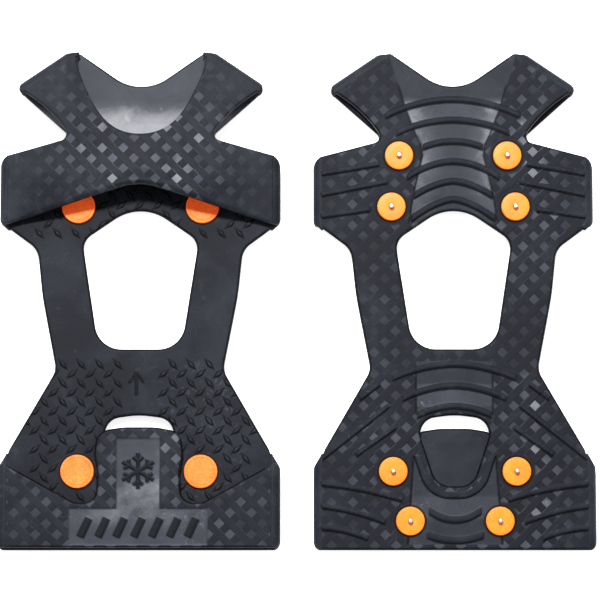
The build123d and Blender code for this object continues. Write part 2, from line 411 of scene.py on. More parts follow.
def lozenges(x, y):
    """For the three nearest rows, the distance to a lozenge (below 1 inside) and the way to its centre."""
    x = x - LOZENGE_START[0] + (y > 0) * LOZENGE_FRONT_STEP
    y = y - LOZENGE_START[1]
    for shift in (-1, 0, 1):
        row = y // LOZENGE_ROWS + shift
        odd = row % 2
        lean_cos = math.cos(LOZENGE_LEAN[0]) + odd * (math.cos(LOZENGE_LEAN[1]) - math.cos(LOZENGE_LEAN[0]))
        lean_sin = math.sin(LOZENGE_LEAN[0]) + odd * (math.sin(LOZENGE_LEAN[1]) - math.sin(LOZENGE_LEAN[0]))
        dx = (x + odd * (LOZENGE_COLUMNS / 2) + LOZENGE_COLUMNS / 2) % LOZENGE_COLUMNS - LOZENGE_COLUMNS / 2
        dy = y - (row + 0.5) * LOZENGE_ROWS
        along = abs(dx * lean_cos + dy * lean_sin) / LOZENGE_HALF[0]
        across = abs(dy * lean_cos - dx * lean_sin) / LOZENGE_HALF[1]
        yield along + across, dx, dy


def nearest_lozenge(x, y):
    """Distance to the nearest lozenge and where its centre is."""
    distance, dx, dy = (np.array(rows) for rows in zip(*lozenges(x, y)))
    pick = distance.argmin(0)[None]
    distance, dx, dy = (np.take_along_axis(rows, pick, 0)[0] for rows in (distance, dx, dy))
    return distance, x - dx, y - dy


def weave(x, y):
    """Height of the weave from 0 to 1."""
    a, b = weave_cells(x, y)
    gap, sunk = weave_squares(a, b)
    bars = weave_bars(a, b)
    edge = np.minimum(np.minimum(a % 1, 1 - a % 1), np.minimum(b % 1, 1 - b % 1))
    soften = ramp(edge, 0, 0.12)
    tilt = gap * (0.3 + 0.4 * ((b % 1) - (a % 1)))
    crossing = (1 - gap) * (1 - sunk) * (1 - bars)
    return bars * (0.8 + 0.2 * soften) + tilt * soften + 0.4 * sunk * soften + 0.85 * crossing


def off_studs(x, y, clear, soft=1.5):
    """0 close round every stud and 1 away from them."""
    free = np.ones_like(x)
    for sx, sy in STUDS:
        free *= ramp(np.hypot(x - sx, y - sy), clear, clear + soft)
    return free


def bar(x, y, start, end, width, height, soft=0.55, bow=0.0):
    """A raised bar with rounded flanks, straight or bowed towards the toe."""
    (x0, y0), (x1, y1) = start, end
    length = math.hypot(x1 - x0, y1 - y0)
    along = ((x - x0) * (x1 - x0) + (y - y0) * (y1 - y0)) / length
    share = np.clip(along / length, 0, 1)
    across = np.abs(((x - x0) * (y1 - y0) - (y - y0) * (x1 - x0)) / length + bow * 4 * share * (1 - share))
    return height * (1 - ramp(across, width / 2 - soft, width / 2 + soft * 0.3)) * plateau(along, 0, length, soft)


def arch_rib(x, y, crown, drop, half, width, height, power=2.0):
    """A rib that bows towards the toe: steep towards the heel, sloping towards the toe."""
    share = np.clip(np.abs(x) / half, 0, 1.2)
    line = crown - drop * share**power
    slope = drop * power * share ** (power - 1) / half
    off = (y - line) / np.sqrt(1 + slope**2)
    ends = 1 - ramp(np.abs(x), half - 1.2, half)
    heel_flank = ramp(off, -width / 2 - 0.35, -width / 2 + 0.15)
    toe_flank = 1 - ramp(off, width / 2 - 1.0, width / 2 + 0.3)
    return height * ends * heel_flank * toe_flank


# Front ribs: crown, drop, half length and how sharply they bow
FRONT_RIBS = (
    (99.2, 8.4, 33.6, 2.0),
    (89.0, 6.6, 28.0, 2.0),
    (78.4, 3.2, 15.2, 2.0),
    (68.4, 8.2, 23.0, 1.9),
    (58.6, 7.6, 19.8, 1.7),
    (49.6, 10.0, 21.0, 1.6),
)
REAR_RIBS = ((-31.4, 7.1, 30.6, 1.9), (-41.9, 6.4, 25.6, 1.9), (-51.9, 4.7, 18.4, 1.9))
RIB_WIDTH = 2.7
RIB_HEIGHT = 0.75
# Half width of the smooth strip down the middle of the front, from its rear to the toe
STRIP_Y = (38.0, 51.5, 63.7, 71.0, 76.4, 81.8, 94.0, 119.6)
STRIP_HALF = (21.6, 19.4, 16.6, 14.9, 15.6, 18.4, 23.0, 30.9)
# Straight bars on the right half: start, end
ARM_BARS = (((36.3, 66.9), (64.4, 62.1)), ((32.3, 58.2), (64.7, 51.7)), ((40.8, 44.4), (64.9, 41.0)))
FLARE_BARS = (((36.5, -41.2), (45.8, -48.3)), ((32.1, -51.9), (64.9, -77.9)), ((28.7, -62.2), (47.5, -75.5)))
HEEL_BARS = (((25.7, -97.5), (65.2, -89.7)), ((34.0, -108.3), (65.2, -100.5)), ((42.4, -116.1), (65.2, -111.0)))
HEEL_BOW = 1.1
HEEL_STRIP = (-119.0, -77.0)
HEEL_STRIP_HALF = (22.8, 20.0)
COLLAR = (3.0, 5.6)  # the rib round the heel opening, from its edge
COLLAR_TOP = -76.0


def tread(x, y, hole_distance):
    """Height, glossiness with its painted sheen, weave strength and darkness (painted shadows, painted shade and seam
    lines) of the sole's tread side.
    """
    a = np.abs(x)
    strip_edge = np.interp(y, STRIP_Y, STRIP_HALF) - a
    front = ramp(strip_edge, -0.3, 0.3) * ramp(y, 37, 38)
    rear = plateau(a, -1, 18.4, 0.4) * plateau(y, -60, -30.5, 0.6)
    rear *= ramp(hole_distance, 2.4, 3.0)
    low = ramp(np.interp(y, HEEL_STRIP, HEEL_STRIP_HALF) - a, -0.3, 0.3) * plateau(y, *HEEL_STRIP, 0.5)
    low *= ramp(hole_distance, COLLAR[1] - 0.3, COLLAR[1] + 0.3)
    collar = plateau(hole_distance, *COLLAR, 0.4) * (1 - ramp(y, COLLAR_TOP - 1, COLLAR_TOP))
    polished = np.maximum.reduce([front, rear, low, collar])
    free = off_studs(x, y, CAP_RADIUS + 0.4)
    legs = 1 - 0.55 * plateau(y, -34, 26, 8)
    side = (1 - 0.6 * ramp(a, 40, 62)) * (1 - 0.5 * ramp(y, TOE - 46, TOE - 28))
    side *= 0.6 + 0.5 * hump(x, *TREAD_WEAVE_STRONGEST)
    woven = (1 - polished) * free * legs * side
    height = WEAVE_DEPTH * weave(x, y) * woven
    seam = (1 - ramp(np.abs(strip_edge), 0.1, 0.6)) * plateau(y, 39, 104, 3)
    seam = np.maximum(seam, (1 - ramp(np.abs(a - 18.6), 0.1, 0.6)) * plateau(y, -56, -33, 1))
    foot_seam = np.interp(y, HEEL_STRIP, HEEL_STRIP_HALF) - a
    seam = np.maximum(seam, (1 - ramp(np.abs(foot_seam), 0.1, 0.6)) * plateau(y, *HEEL_STRIP, 1))
    height -= 0.2 * seam
    ribs = np.zeros_like(x)
    # Painted shadow: a dark line along the heel side of every rib and bar, and round the outside of the collar.
    shade = np.zeros_like(x)
    for crown, drop, half, power in FRONT_RIBS + REAR_RIBS:
        ribs = np.maximum(ribs, arch_rib(x, y, crown, drop, half, RIB_WIDTH, RIB_HEIGHT, power))
        below = arch_rib(x, y + RIB_WIDTH / 2 + 0.45, crown, drop, half, 0.9, 1, power)
        shade = np.maximum(shade, below * (0.6 + 0.4 * (strip_edge > 0)))
    for start, end in ARM_BARS + FLARE_BARS + HEEL_BARS:
        bow = HEEL_BOW if (start, end) in HEEL_BARS else 0.0
        ribs = np.maximum(ribs, bar(a, y, start, end, 2.3, 0.6, 0.4, bow))
        under = ((start[0], start[1] - 1.5), (end[0], end[1] - 1.5))
        shade = np.maximum(shade, bar(a, y, *under, 1.0, 0.9, 0.4, bow))
    for crown, drop, half in ((-107.1, -4.9, 13.2), (-117.0, -2.9, 14.2)):
        ribs = np.maximum(ribs, arch_rib(x, y, crown, drop, half, 2.9, 0.7))
        shade = np.maximum(shade, arch_rib(x, y + 1.9, crown, drop, half, 0.7, 1))
    ribs = np.maximum(ribs, 0.6 * collar)
    shade = np.maximum(shade, 0.9 * plateau(hole_distance, COLLAR[1] + 0.2, COLLAR[1] + 0.5, 0.4) * (y < COLLAR_TOP))
    on_rib = ramp(ribs, 0.05, 0.4)
    # Painted sheen: the smooth panels' glossiness also lightens their colour, most in bands across the front strip,
    # towards its sides, and on parts of the rear and heel panels.
    panel = 0.35 * polished + 0.4 * plateau(y, 88, 97, 1.5) * front + 0.2 * plateau(y, 52, 86, 2) * front
    panel += 0.8 * front * ramp(1 - strip_edge / 14, 0, 1) * plateau(y, 44, 97, 4)
    panel += 0.4 * plateau(y, -52, -42, 1) * rear + 0.35 * plateau(y, -106, -97, 2) * low
    gloss = panel * (1 - on_rib) + 0.05 * on_rib
    # Painted shade: a dark ring round each disc. The seam grooves are drawn dark too.
    ring = 1 - off_studs(x, y, DISC_RADIUS + 0.3, 1.0)
    darkness = np.maximum.reduce([shade * (1 - on_rib), 0.8 * seam * (1 - on_rib), 0.8 * ring])
    return height + ribs, gloss, woven * (1 - on_rib), darkness


def foot_side(x, y):
    """Height, glossiness with its painted reflection, lozenge strength and darkness (painted shade round the caps,
    and the arrow) of the sole's foot side.
    """
    a = np.abs(x)
    distance, cx, cy = nearest_lozenge(x, y)
    ca = np.abs(cx)
    rear = (cy > -101) * 1.0 * (cy < -29) * (ca > 10) * ((ca < 53) | (cy > -65))
    front = (cy > 31) * 1.0 * (cy < 74) * (ca < 53)
    zone = np.maximum(rear, front) * (off_studs(cx, cy, CAP_RADIUS + 2.6, 0.1) > 0.5)
    raised = (1 - ramp(distance, 0.55, 1.1)) * zone
    arrow = np.zeros_like(x)
    for tip in (-5.0, 2.0):
        arrow = np.maximum(arrow, bar(x, y, (-1.5, -35.5), (tip, -40.5), 1.3, 1, 0.3))
    arrow = np.maximum(arrow, bar(x, y, (-1.5, -36.0), (-1.5, -46.5), 1.3, 1, 0.3))
    # Painted reflection: the toe panel's glossiness, which also lightens its colour, climbs to a bright band from y
    # 74 to 82, dims from y 84 to 100 and fades out near the toe in the middle.
    gloss = 0.1 + (2.3 - 1.6 * ramp(y, 84, 100)) * ramp(y, 74, 82) * (1 - ramp(y, 104, 118) * ramp(20 - a, 0, 12))
    # Painted shade: a dark ring round each cap.
    ring = 1 - off_studs(x, y, CAP_RADIUS + 0.2, 0.8)
    return 0.45 * raised + 0.4 * arrow, gloss, zone, np.maximum(0.7 * ring, 0.5 * arrow)


def strap_side(x, y):
    """Height, glossiness with its painted sheen, weave strength and darkness of the outside of the toe harness."""
    woven = 1 - 0.75 * ramp(np.abs(x), 24, 60)
    woven *= (ramp(y, TOE - 90, TOE - 68) * 0.6 + 0.4) * (1 - 0.5 * ramp(y, TOE - 40, TOE - 26))
    woven *= 0.55 + 0.6 * hump(x, *STRAP_WEAVE_STRONGEST)
    return WEAVE_DEPTH * (weave(x, y) - 1) * woven, 0.15 + 0 * x, woven, 0 * x


PANEL_STEM = (-10.4, 10.0, -104.0, -68.6)
PANEL_FOOT = (-33.3, 33.3, -119.6, -102.4)


def snowflake(x, y, centre, radius, swell=0.0):
    """A six-armed star with small side branches, its strokes widened by swell on each side."""
    dx, dy = x - centre[0], y - centre[1]
    mark = np.zeros_like(x)
    for arm in range(6):
        turn = math.radians(60 * arm + 30)
        tip = (radius * math.cos(turn), radius * math.sin(turn))
        mark = np.maximum(mark, bar(dx, dy, (0, 0), tip, 1.3 + 2 * swell, 1.0, 0.35))
        for lean in (-50, 50):
            way = turn + math.radians(lean)
            knee = (tip[0] * 0.55, tip[1] * 0.55)
            end = (knee[0] + 3.0 * math.cos(way), knee[1] + 3.0 * math.sin(way))
            mark = np.maximum(mark, bar(dx, dy, knee, end, 1.1 + 2 * swell, 1.0, 0.35))
    return mark


def band_side(x, y):
    """Height, glossiness with its painted sheen, weave strength and darkness of the outside of the heel band and its
    tab.
    """
    x0, x1, y0, y1 = PANEL_STEM
    stem = plateau(x, x0, x1, 0.35) * plateau(y, y0, y1, 0.35)
    x0, x1, y0, y1 = PANEL_FOOT
    foot = plateau(x, x0, x1, 0.35) * plateau(y, y0, y1, 0.35)
    panel = np.maximum(stem, foot)
    woven = (1 - panel) * (0.7 - 0.3 * ramp(np.abs(x), 34, 62))
    marks = snowflake(x, y, (-0.2, -84.0), 8.6)
    halo = snowflake(x, y, (-0.2, -84.0), 8.6, 0.6)
    for step in range(-3, 4):
        ends = (step * 8.6 - 2.0, -115.6), (step * 8.6 + 2.0, -107.0)
        marks = np.maximum(marks, bar(x, y, *ends, 3.0, 1.0, 0.4))
        halo = np.maximum(halo, bar(x, y, *ends, 4.2, 1.0, 0.4))
    height = WEAVE_DEPTH * (weave(x, y) - 1) * woven + 0.4 * (marks - 1) * panel
    # Painted sheen: the smooth panels get a higher glossiness, which also lightens their colour, most from about y
    # -106 to -92.
    gloss = 0.1 + (0.75 + 0.3 * plateau(y, -106, -92, 8)) * panel * (1 - marks)
    return height, gloss, woven, np.maximum(0.75 * halo * (1 - marks), 0.25 * marks)


# ---------------------------------------------------------------- objects


def place(side, points):
    """Row-frame metres of points in a cleat's own millimetres."""
    x, y, z = points.T
    if side == "left":
        return np.column_stack([x - CLEAT_X, y, z]) * MM
    return np.column_stack([CLEAT_X - x, y, STACK - z]) * MM


def make_piece(name, side, points, faces, values, material):
    mesh = bpy.data.meshes.new(name)
    mesh.from_pydata(place(side, points), [], faces)
    mesh.polygons.foreach_set("use_smooth", np.ones(len(mesh.polygons), bool))
    design = mesh.attributes.new("design", "FLOAT_VECTOR", "POINT")
    design.data.foreach_set("vector", points.astype(np.float32).ravel())
    for key, numbers in values.items():
        attribute = mesh.attributes.new(key, "FLOAT", "POINT")
        attribute.data.foreach_set("value", numbers.astype(np.float32))
    mesh.materials.append(material)
    piece = bpy.data.objects.new(name, mesh)
    bpy.context.scene.collection.objects.link(piece)
    return piece


def face_outwards(piece):
    shell = bmesh.new()
    shell.from_mesh(piece.data)
    bmesh.ops.recalc_face_normals(shell, faces=shell.faces)
    shell.to_mesh(piece.data)
    shell.free()


def taken_out(points, faces, values, keep):
    """The chosen faces with only the points that they use."""
    used, faces = np.unique(faces[keep], return_inverse=True)
    return points[used], faces.reshape(-1, 3), {key: numbers[used] for key, numbers in values.items()}


def fold_piece(name, side, fold, loop_low, loop_high, material):
    """The rubber that turns over at a fold, from the sole's level round to the strap's."""
    middle = (FOLD_OUTER + FOLD_INNER) / 2
    even = np.linspace(-0.98, 0.98, BEND_ROWS) * FOLD_INNER
    bend = np.linspace(-90, math.degrees(math.asin(even[0] / FOLD_OUTER)), 9)[:-1]
    angles = np.concatenate([np.radians(bend), np.arcsin(even / FOLD_OUTER), -np.radians(bend[::-1])])
    outer = [(a, FOLD_OUTER, 0.0) for a in angles]
    inner = [(a, FOLD_INNER, 0.0) for a in np.arcsin(np.clip(even / FOLD_INNER, -1, 1))]
    under, over = [(turn, FOLD_OUTER - 0.03, FOLD_TUCK) for turn in (-math.pi / 2, math.pi / 2)]
    outer = [under] + outer + [over]
    under, over = [(turn, FOLD_INNER + 0.03, FOLD_TUCK) for turn in (-math.pi / 2, math.pi / 2)]
    inner = [under] + inner + [over]
    ends = np.array([0, 0.1, 0.35, 0.75, EDGE_ROUND])
    points = []
    for rows in (outer, inner):
        for angle, radius, back in rows:
            reach = FOLD_OUTER * (1 - math.cos(angle)) + 0.02
            share = smooth(0.5 + 0.5 * math.sin(angle))
            low, high = fold.span(loop_low, reach), fold.span(loop_high, reach)
            start = low[0] + (high[0] - low[0]) * share
            end = low[1] + (high[1] - low[1]) * share
            inside = np.linspace(start + EDGE_ROUND, end - EDGE_ROUND, FOLD_COLUMNS)[1:-1]
            t = np.concatenate([start + ends, inside, end - ends[::-1]])
            thin = np.sqrt(np.clip(1 - (1 - np.minimum(t - start, end - t) / EDGE_ROUND) ** 2, 0, 1))
            thin = np.where(np.minimum(t - start, end - t) > EDGE_ROUND, 1, thin)
            r = middle + (radius - middle) * thin
            n = -FOLD_OUTER - back + r * math.cos(angle)
            z = FOLD_MID + r * math.sin(angle)
            xy = fold.point + n[:, None] * fold.out + t[:, None] * fold.along
            points.append(np.column_stack([xy, z]))
    width = len(points[0])
    points = np.concatenate(points)
    index = np.arange(len(points)).reshape(-1, width)
    outer_rows, inner_rows = index[: len(outer)], index[len(outer) :]
    faces = []
    for rows, flip in ((outer_rows, False), (inner_rows, True)):
        for a, b in zip(rows[:-1], rows[1:]):
            for k in range(width - 1):
                quad = (a[k], a[k + 1], b[k + 1], b[k])
                faces.append(quad[::-1] if flip else quad)
    for k in range(width - 1):
        faces.append((outer_rows[0][k + 1], outer_rows[0][k], inner_rows[0][k], inner_rows[0][k + 1]))
        faces.append((outer_rows[-1][k], outer_rows[-1][k + 1], inner_rows[-1][k + 1], inner_rows[-1][k]))
    for column, flip in ((0, False), (width - 1, True)):
        a, b = outer_rows[:, column], inner_rows[:, column]
        p = q = 0
        while p < len(a) - 1 or q < len(b) - 1:
            if q >= len(b) - 1 or (p < len(a) - 1 and p / (len(a) - 1) <= q / (len(b) - 1)):
                tri, p = (a[p], a[p + 1], b[q]), p + 1
            else:
                tri, q = (a[p], b[q + 1], b[q]), q + 1
            faces.append(tri[::-1] if flip else tri)
    values = {"gloss": np.full(len(points), 0.2)}
    piece = make_piece(name, side, points, [tuple(int(i) for i in f) for f in faces], values, material)
    piece.data.validate()
    face_outwards(piece)  # a mirrored fold runs the other way along its edge
    low_z, high_z = place(side, np.array([[0, 0, SOLE_TOP], [0, 0, STRAP_UNDER]]))
    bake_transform(piece)
    return piece


def draw_back(points):
    """Moves points near the rear edge of each wing inwards, most at mid-edge, so that the loop stands open."""
    x, y, z = points.T
    side = np.sign(x)
    corner, notch = np.array(wing_rear[0]), np.array(wing_rear[1])
    along = (notch - corner) / np.hypot(*(notch - corner))
    out = np.array([-along[1], along[0]])
    out = out if out[1] < 0 else -out
    offset = np.column_stack([abs(x), y]) - corner
    share = offset @ along / np.hypot(*(notch - corner))
    inset = -(offset @ out)
    amount = WING_GAP * np.clip(4 * share * (1 - share), 0, 1) * (1 - ramp(inset, 0, WING_GAP_REACH)) * (inset > -3)
    return np.column_stack([x - side * amount * out[0], y - amount * out[1], z])


def lean_rear_edge(points, rear_y, middle):
    """Tilts the rear edge of the harness so that its cut face looks up and back."""
    x, y, z = points.T
    share = (1 - ramp(y - rear_y, 0, 5)) * (1 - ramp(abs(x), 50, 62))
    return np.column_stack([x, y + REAR_LEAN * (z - middle) * share, z])


# ---------------------------------------------------------------- materials


class Signal:
    """A value in a node tree that can be used in a formula like a number."""

    def __init__(self, tree, socket):
        self.tree, self.socket = tree, socket

    def maths(self, operation, *values):
        node = self.tree.nodes.new("ShaderNodeMath")
        node.operation = operation
        for slot, value in zip(node.inputs, values):
            if isinstance(value, Signal):
                self.tree.links.new(value.socket, slot)
            else:
                slot.default_value = value
        return Signal(self.tree, node.outputs["Value"])

    def __add__(self, other):
        return self.maths("ADD", self, other)

    def __sub__(self, other):
        return self.maths("SUBTRACT", self, other)

    def __rsub__(self, other):
        return self.maths("SUBTRACT", other, self)

    def __mul__(self, other):
        return self.maths("MULTIPLY", self, other)

    def __truediv__(self, other):
        return self.maths("DIVIDE", self, other)

    def __mod__(self, other):
        return self.maths("FLOORED_MODULO", self, other)

    def __floordiv__(self, other):
        return (self / other).maths("FLOOR", self / other)

    def __abs__(self):
        return self.maths("ABSOLUTE", self)

    def __lt__(self, other):
        return self.maths("LESS_THAN", self, other)

    def __gt__(self, other):
        return self.maths("GREATER_THAN", self, other)

    def smaller(self, other):
        return self.maths("MINIMUM", self, other)

    def ramp(self, start, end):
        """0 before start, 1 after end, smooth between."""
        node = self.tree.nodes.new("ShaderNodeMapRange")
        node.interpolation_type = "SMOOTHSTEP"
        self.tree.links.new(self.socket, node.inputs["Value"])
        node.inputs["From Min"].default_value = start
        node.inputs["From Max"].default_value = end
        return Signal(self.tree, node.outputs["Result"])

    __radd__, __rmul__ = __add__, __mul__


class Look:
    """A material under construction."""

    def __init__(self, name):
        self.material = bpy.data.materials.new(name)
        self.material.use_nodes = True
        self.tree = self.material.node_tree
        self.shader = self.tree.nodes["Principled BSDF"]

    def attribute(self, name, output="Fac"):
        node = self.tree.nodes.new("ShaderNodeAttribute")
        node.attribute_name = name
        return Signal(self.tree, node.outputs[output])

    def frame_place(self):
        return Signal(self.tree, self.tree.nodes.new("ShaderNodeTexCoord").outputs["Object"])

    def split(self, vector):
        node = self.tree.nodes.new("ShaderNodeSeparateXYZ")
        self.tree.links.new(vector.socket, node.inputs["Vector"])
        return [Signal(self.tree, node.outputs[axis]) for axis in "XYZ"]

    def noise(self, vector, scale, detail=4.0, roughness=0.5, stretch=0.0):
        node = self.tree.nodes.new("ShaderNodeTexNoise")
        node.inputs["Scale"].default_value = scale
        node.inputs["Detail"].default_value = detail
        node.inputs["Roughness"].default_value = roughness
        node.inputs["Distortion"].default_value = stretch
        self.tree.links.new(vector.socket, node.inputs["Vector"])
        return Signal(self.tree, node.outputs["Fac"])

    def per_cell(self, a, b):
        """A fixed random number for each pair of whole numbers."""
        join = self.tree.nodes.new("ShaderNodeCombineXYZ")
        self.tree.links.new(a.socket, join.inputs["X"])
        self.tree.links.new(b.socket, join.inputs["Y"])
        node = self.tree.nodes.new("ShaderNodeTexWhiteNoise")
        self.tree.links.new(join.outputs["Vector"], node.inputs["Vector"])
        return Signal(self.tree, node.outputs["Value"])

    def colour(self, tone, stops):
        node = self.tree.nodes.new("ShaderNodeValToRGB")
        while len(node.color_ramp.elements) < len(stops):
            node.color_ramp.elements.new(0.5)
        for element, (position, colour) in zip(node.color_ramp.elements, stops):
            element.position = position
            element.color = (*colour, 1)
        self.tree.links.new(tone.socket, node.inputs["Fac"])
        self.tree.links.new(node.outputs["Color"], self.shader.inputs["Base Color"])

    def roughness(self, value):
        self.tree.links.new(value.socket, self.shader.inputs["Roughness"])

    def bump(self, height, distance, strength=1.0):
        node = self.tree.nodes.new("ShaderNodeBump")
        node.inputs["Strength"].default_value = strength
        node.inputs["Distance"].default_value = distance
        self.tree.links.new(height.socket, node.inputs["Height"])
        self.tree.links.new(node.outputs["Normal"], self.shader.inputs["Normal"])


def rubber_material():
    """Black moulded rubber with polished panels lightened by painted sheen, painted highlights on woven squares,
    painted shade in creases, rims and round raised parts, and dusty scuffs.
    """
    look = Look("moulded_rubber")
    place_at = look.attribute("design", "Vector")
    x, y, _ = look.split(place_at)
    gloss, woven, grip, darkness = (look.attribute(name) for name in ("gloss", "woven", "grip", "darkness"))
    cloud = look.noise(place_at, 0.04, 5.0, 0.6, 0.6)
    grain = look.noise(place_at, 1.6, 3.0)
    fine = look.noise(place_at, 7.0, 2.0)
    scuff = look.noise(place_at, 0.11, 6.0, 0.72, 1.2).ramp(0.56, 0.74)

    a, b = weave_cells(x, y)
    gap, sunk = weave_squares(a, b)
    chance = look.per_cell((x + y) / WEAVE_STEP // 1, (x - y) / WEAVE_STEP // 1)
    # Painted highlights: weave gaps picked at random, more of them inside cloudy patches, are lightened as if they
    # caught the light, and so are thin lines along the long edges of some upper strips.
    glint_patches = look.noise(place_at, 0.035, 2.0).ramp(0.4, 0.62)
    painted_glints = gap * (0.05 + chance * (0.2 + 0.24 * glint_patches))
    line = weave_bars(a, b) * (abs(a % 1 - 0.5) > 0.42) * (b % 2 > 1) * (0.15 + 0.85 * glint_patches)
    # Painted shade: thin dark creases along the sunk squares; the sunk squares are also painted a little darker
    # below.
    crease = (abs(b % 1 - 0.5) > 0.44) * sunk
    # Painted shade: a dark band round the edge of each raised lozenge.
    first, second, third = (distance for distance, _, _ in lozenges(x, y))
    inset = first.smaller(second).smaller(third)
    outline = inset.ramp(0.65, 0.9) * (1 - inset.ramp(1.25, 1.7))

    # Random tone, grain and dusty scuffs, plus a painted sheen that rises with glossiness and is mottled by the cloud
    # on the glossiest parts.
    tone = 0.25 + 0.26 * (cloud - 0.5) + 0.06 * (grain - 0.5) + 0.1 * scuff + 0.22 * gloss
    tone = tone + 0.5 * (gloss - 0.5).ramp(0, 1) * (cloud - 0.45)
    scratch = look.noise(place_at, 0.22, 7.0, 0.75, 1.5).ramp(0.52, 0.74)
    rubbed = x.ramp(4, 16) * (1 - x.ramp(46, 58)) * (1 - y.ramp(-34, -26)) * (1 - woven.ramp(0, 0.2))
    # Light scratches where rubbed, then the painted highlights of the weave and its painted shade in the sunk squares
    # and creases.
    tone = tone + 0.26 * scratch * rubbed + woven * (painted_glints + 0.26 * line - 0.03 * sunk - 0.08 * crease)
    # Painted shade: the darkness values and the lozenge outlines darken the colour.
    tone = tone - 0.45 * darkness - 0.3 * outline * grip
    look.colour(
        tone,
        [
            (0.0, (0.0004, 0.0004, 0.0005)),
            (0.25, (0.0062, 0.0072, 0.0112)),
            (0.5, (0.036, 0.039, 0.05)),
            (0.85, (0.2, 0.205, 0.22)),
        ],
    )
    look.roughness(0.62 - 0.16 * gloss - 0.12 * woven * gap + 0.1 * (grain - 0.5) + 0.1 * (cloud - 0.5))
    look.shader.inputs["Specular IOR Level"].default_value = 0.1
    look.bump(0.6 * grain + 0.4 * fine, 0.00007)
    return look.material


GLOW = 0.32  # painted glow: the orange plastic gives off a faint red light, so it stays red in the shade
GLOW_COLOUR = (1.0, 0.03, 0.004)


def plastic_material(name, dark, mid, light, roughness, grain_scale):
    """Orange moulded plastic with a fine grain and a faint painted red glow, so that it stays red in the shade."""
    look = Look(name)
    grain = look.noise(look.frame_place(), grain_scale, 4.0, 0.6)
    cloud = look.noise(look.frame_place(), 130.0, 3.0)
    look.colour(0.6 * grain + 0.4 * cloud, [(0.34, dark), (0.5, mid), (0.66, light)])
    look.roughness(roughness + 0.3 * (grain - 0.5))
    look.bump(grain, 0.00005)
    look.shader.inputs["Specular IOR Level"].default_value = 0.25
    look.shader.inputs["Emission Color"].default_value = (*GLOW_COLOUR, 1)
    look.shader.inputs["Emission Strength"].default_value = GLOW
    return look.material


def steel_material():
    look = Look("stud_steel_worn")
    grain = look.noise(look.frame_place(), 2500.0)
    look.colour(grain, [(0.3, (0.4, 0.34, 0.31)), (0.7, (0.68, 0.6, 0.56))])
    look.roughness(0.4 + 0.4 * (grain - 0.5))
    look.shader.inputs["Metallic"].default_value = 1.0
    look.bump(grain, 0.00002)
    return look.material


FLOOR_GLOW = 0.75  # the photo's ground is burnt out to white


def floor_material():
    look = Look("pale_floor")
    cloud = look.noise(look.frame_place(), 3.0)
    look.colour(cloud, [(0.3, (0.9, 0.9, 0.9)), (0.7, (0.92, 0.92, 0.92))])
    look.shader.inputs["Roughness"].default_value = 0.9
    look.shader.inputs["Emission Color"].default_value = (1, 1, 1, 1)
    look.shader.inputs["Emission Strength"].default_value = FLOOR_GLOW
    return look.material


RUBBER_LOOK = rubber_material()
DISC_COLOURS = (0.5, 0.15, 0.005), (0.56, 0.19, 0.007), (0.63, 0.23, 0.01)
CAP_COLOURS = (0.5, 0.11, 0.008), (0.62, 0.165, 0.018), (0.75, 0.24, 0.045)
DISC_LOOK = plastic_material("stud_orange_satin", *DISC_COLOURS, 0.42, 900.0)
CAP_LOOK = plastic_material("cap_orange_grained", *CAP_COLOURS, 0.55, 800.0)
STEEL_LOOK = steel_material()


# ---------------------------------------------------------------- build the rubber


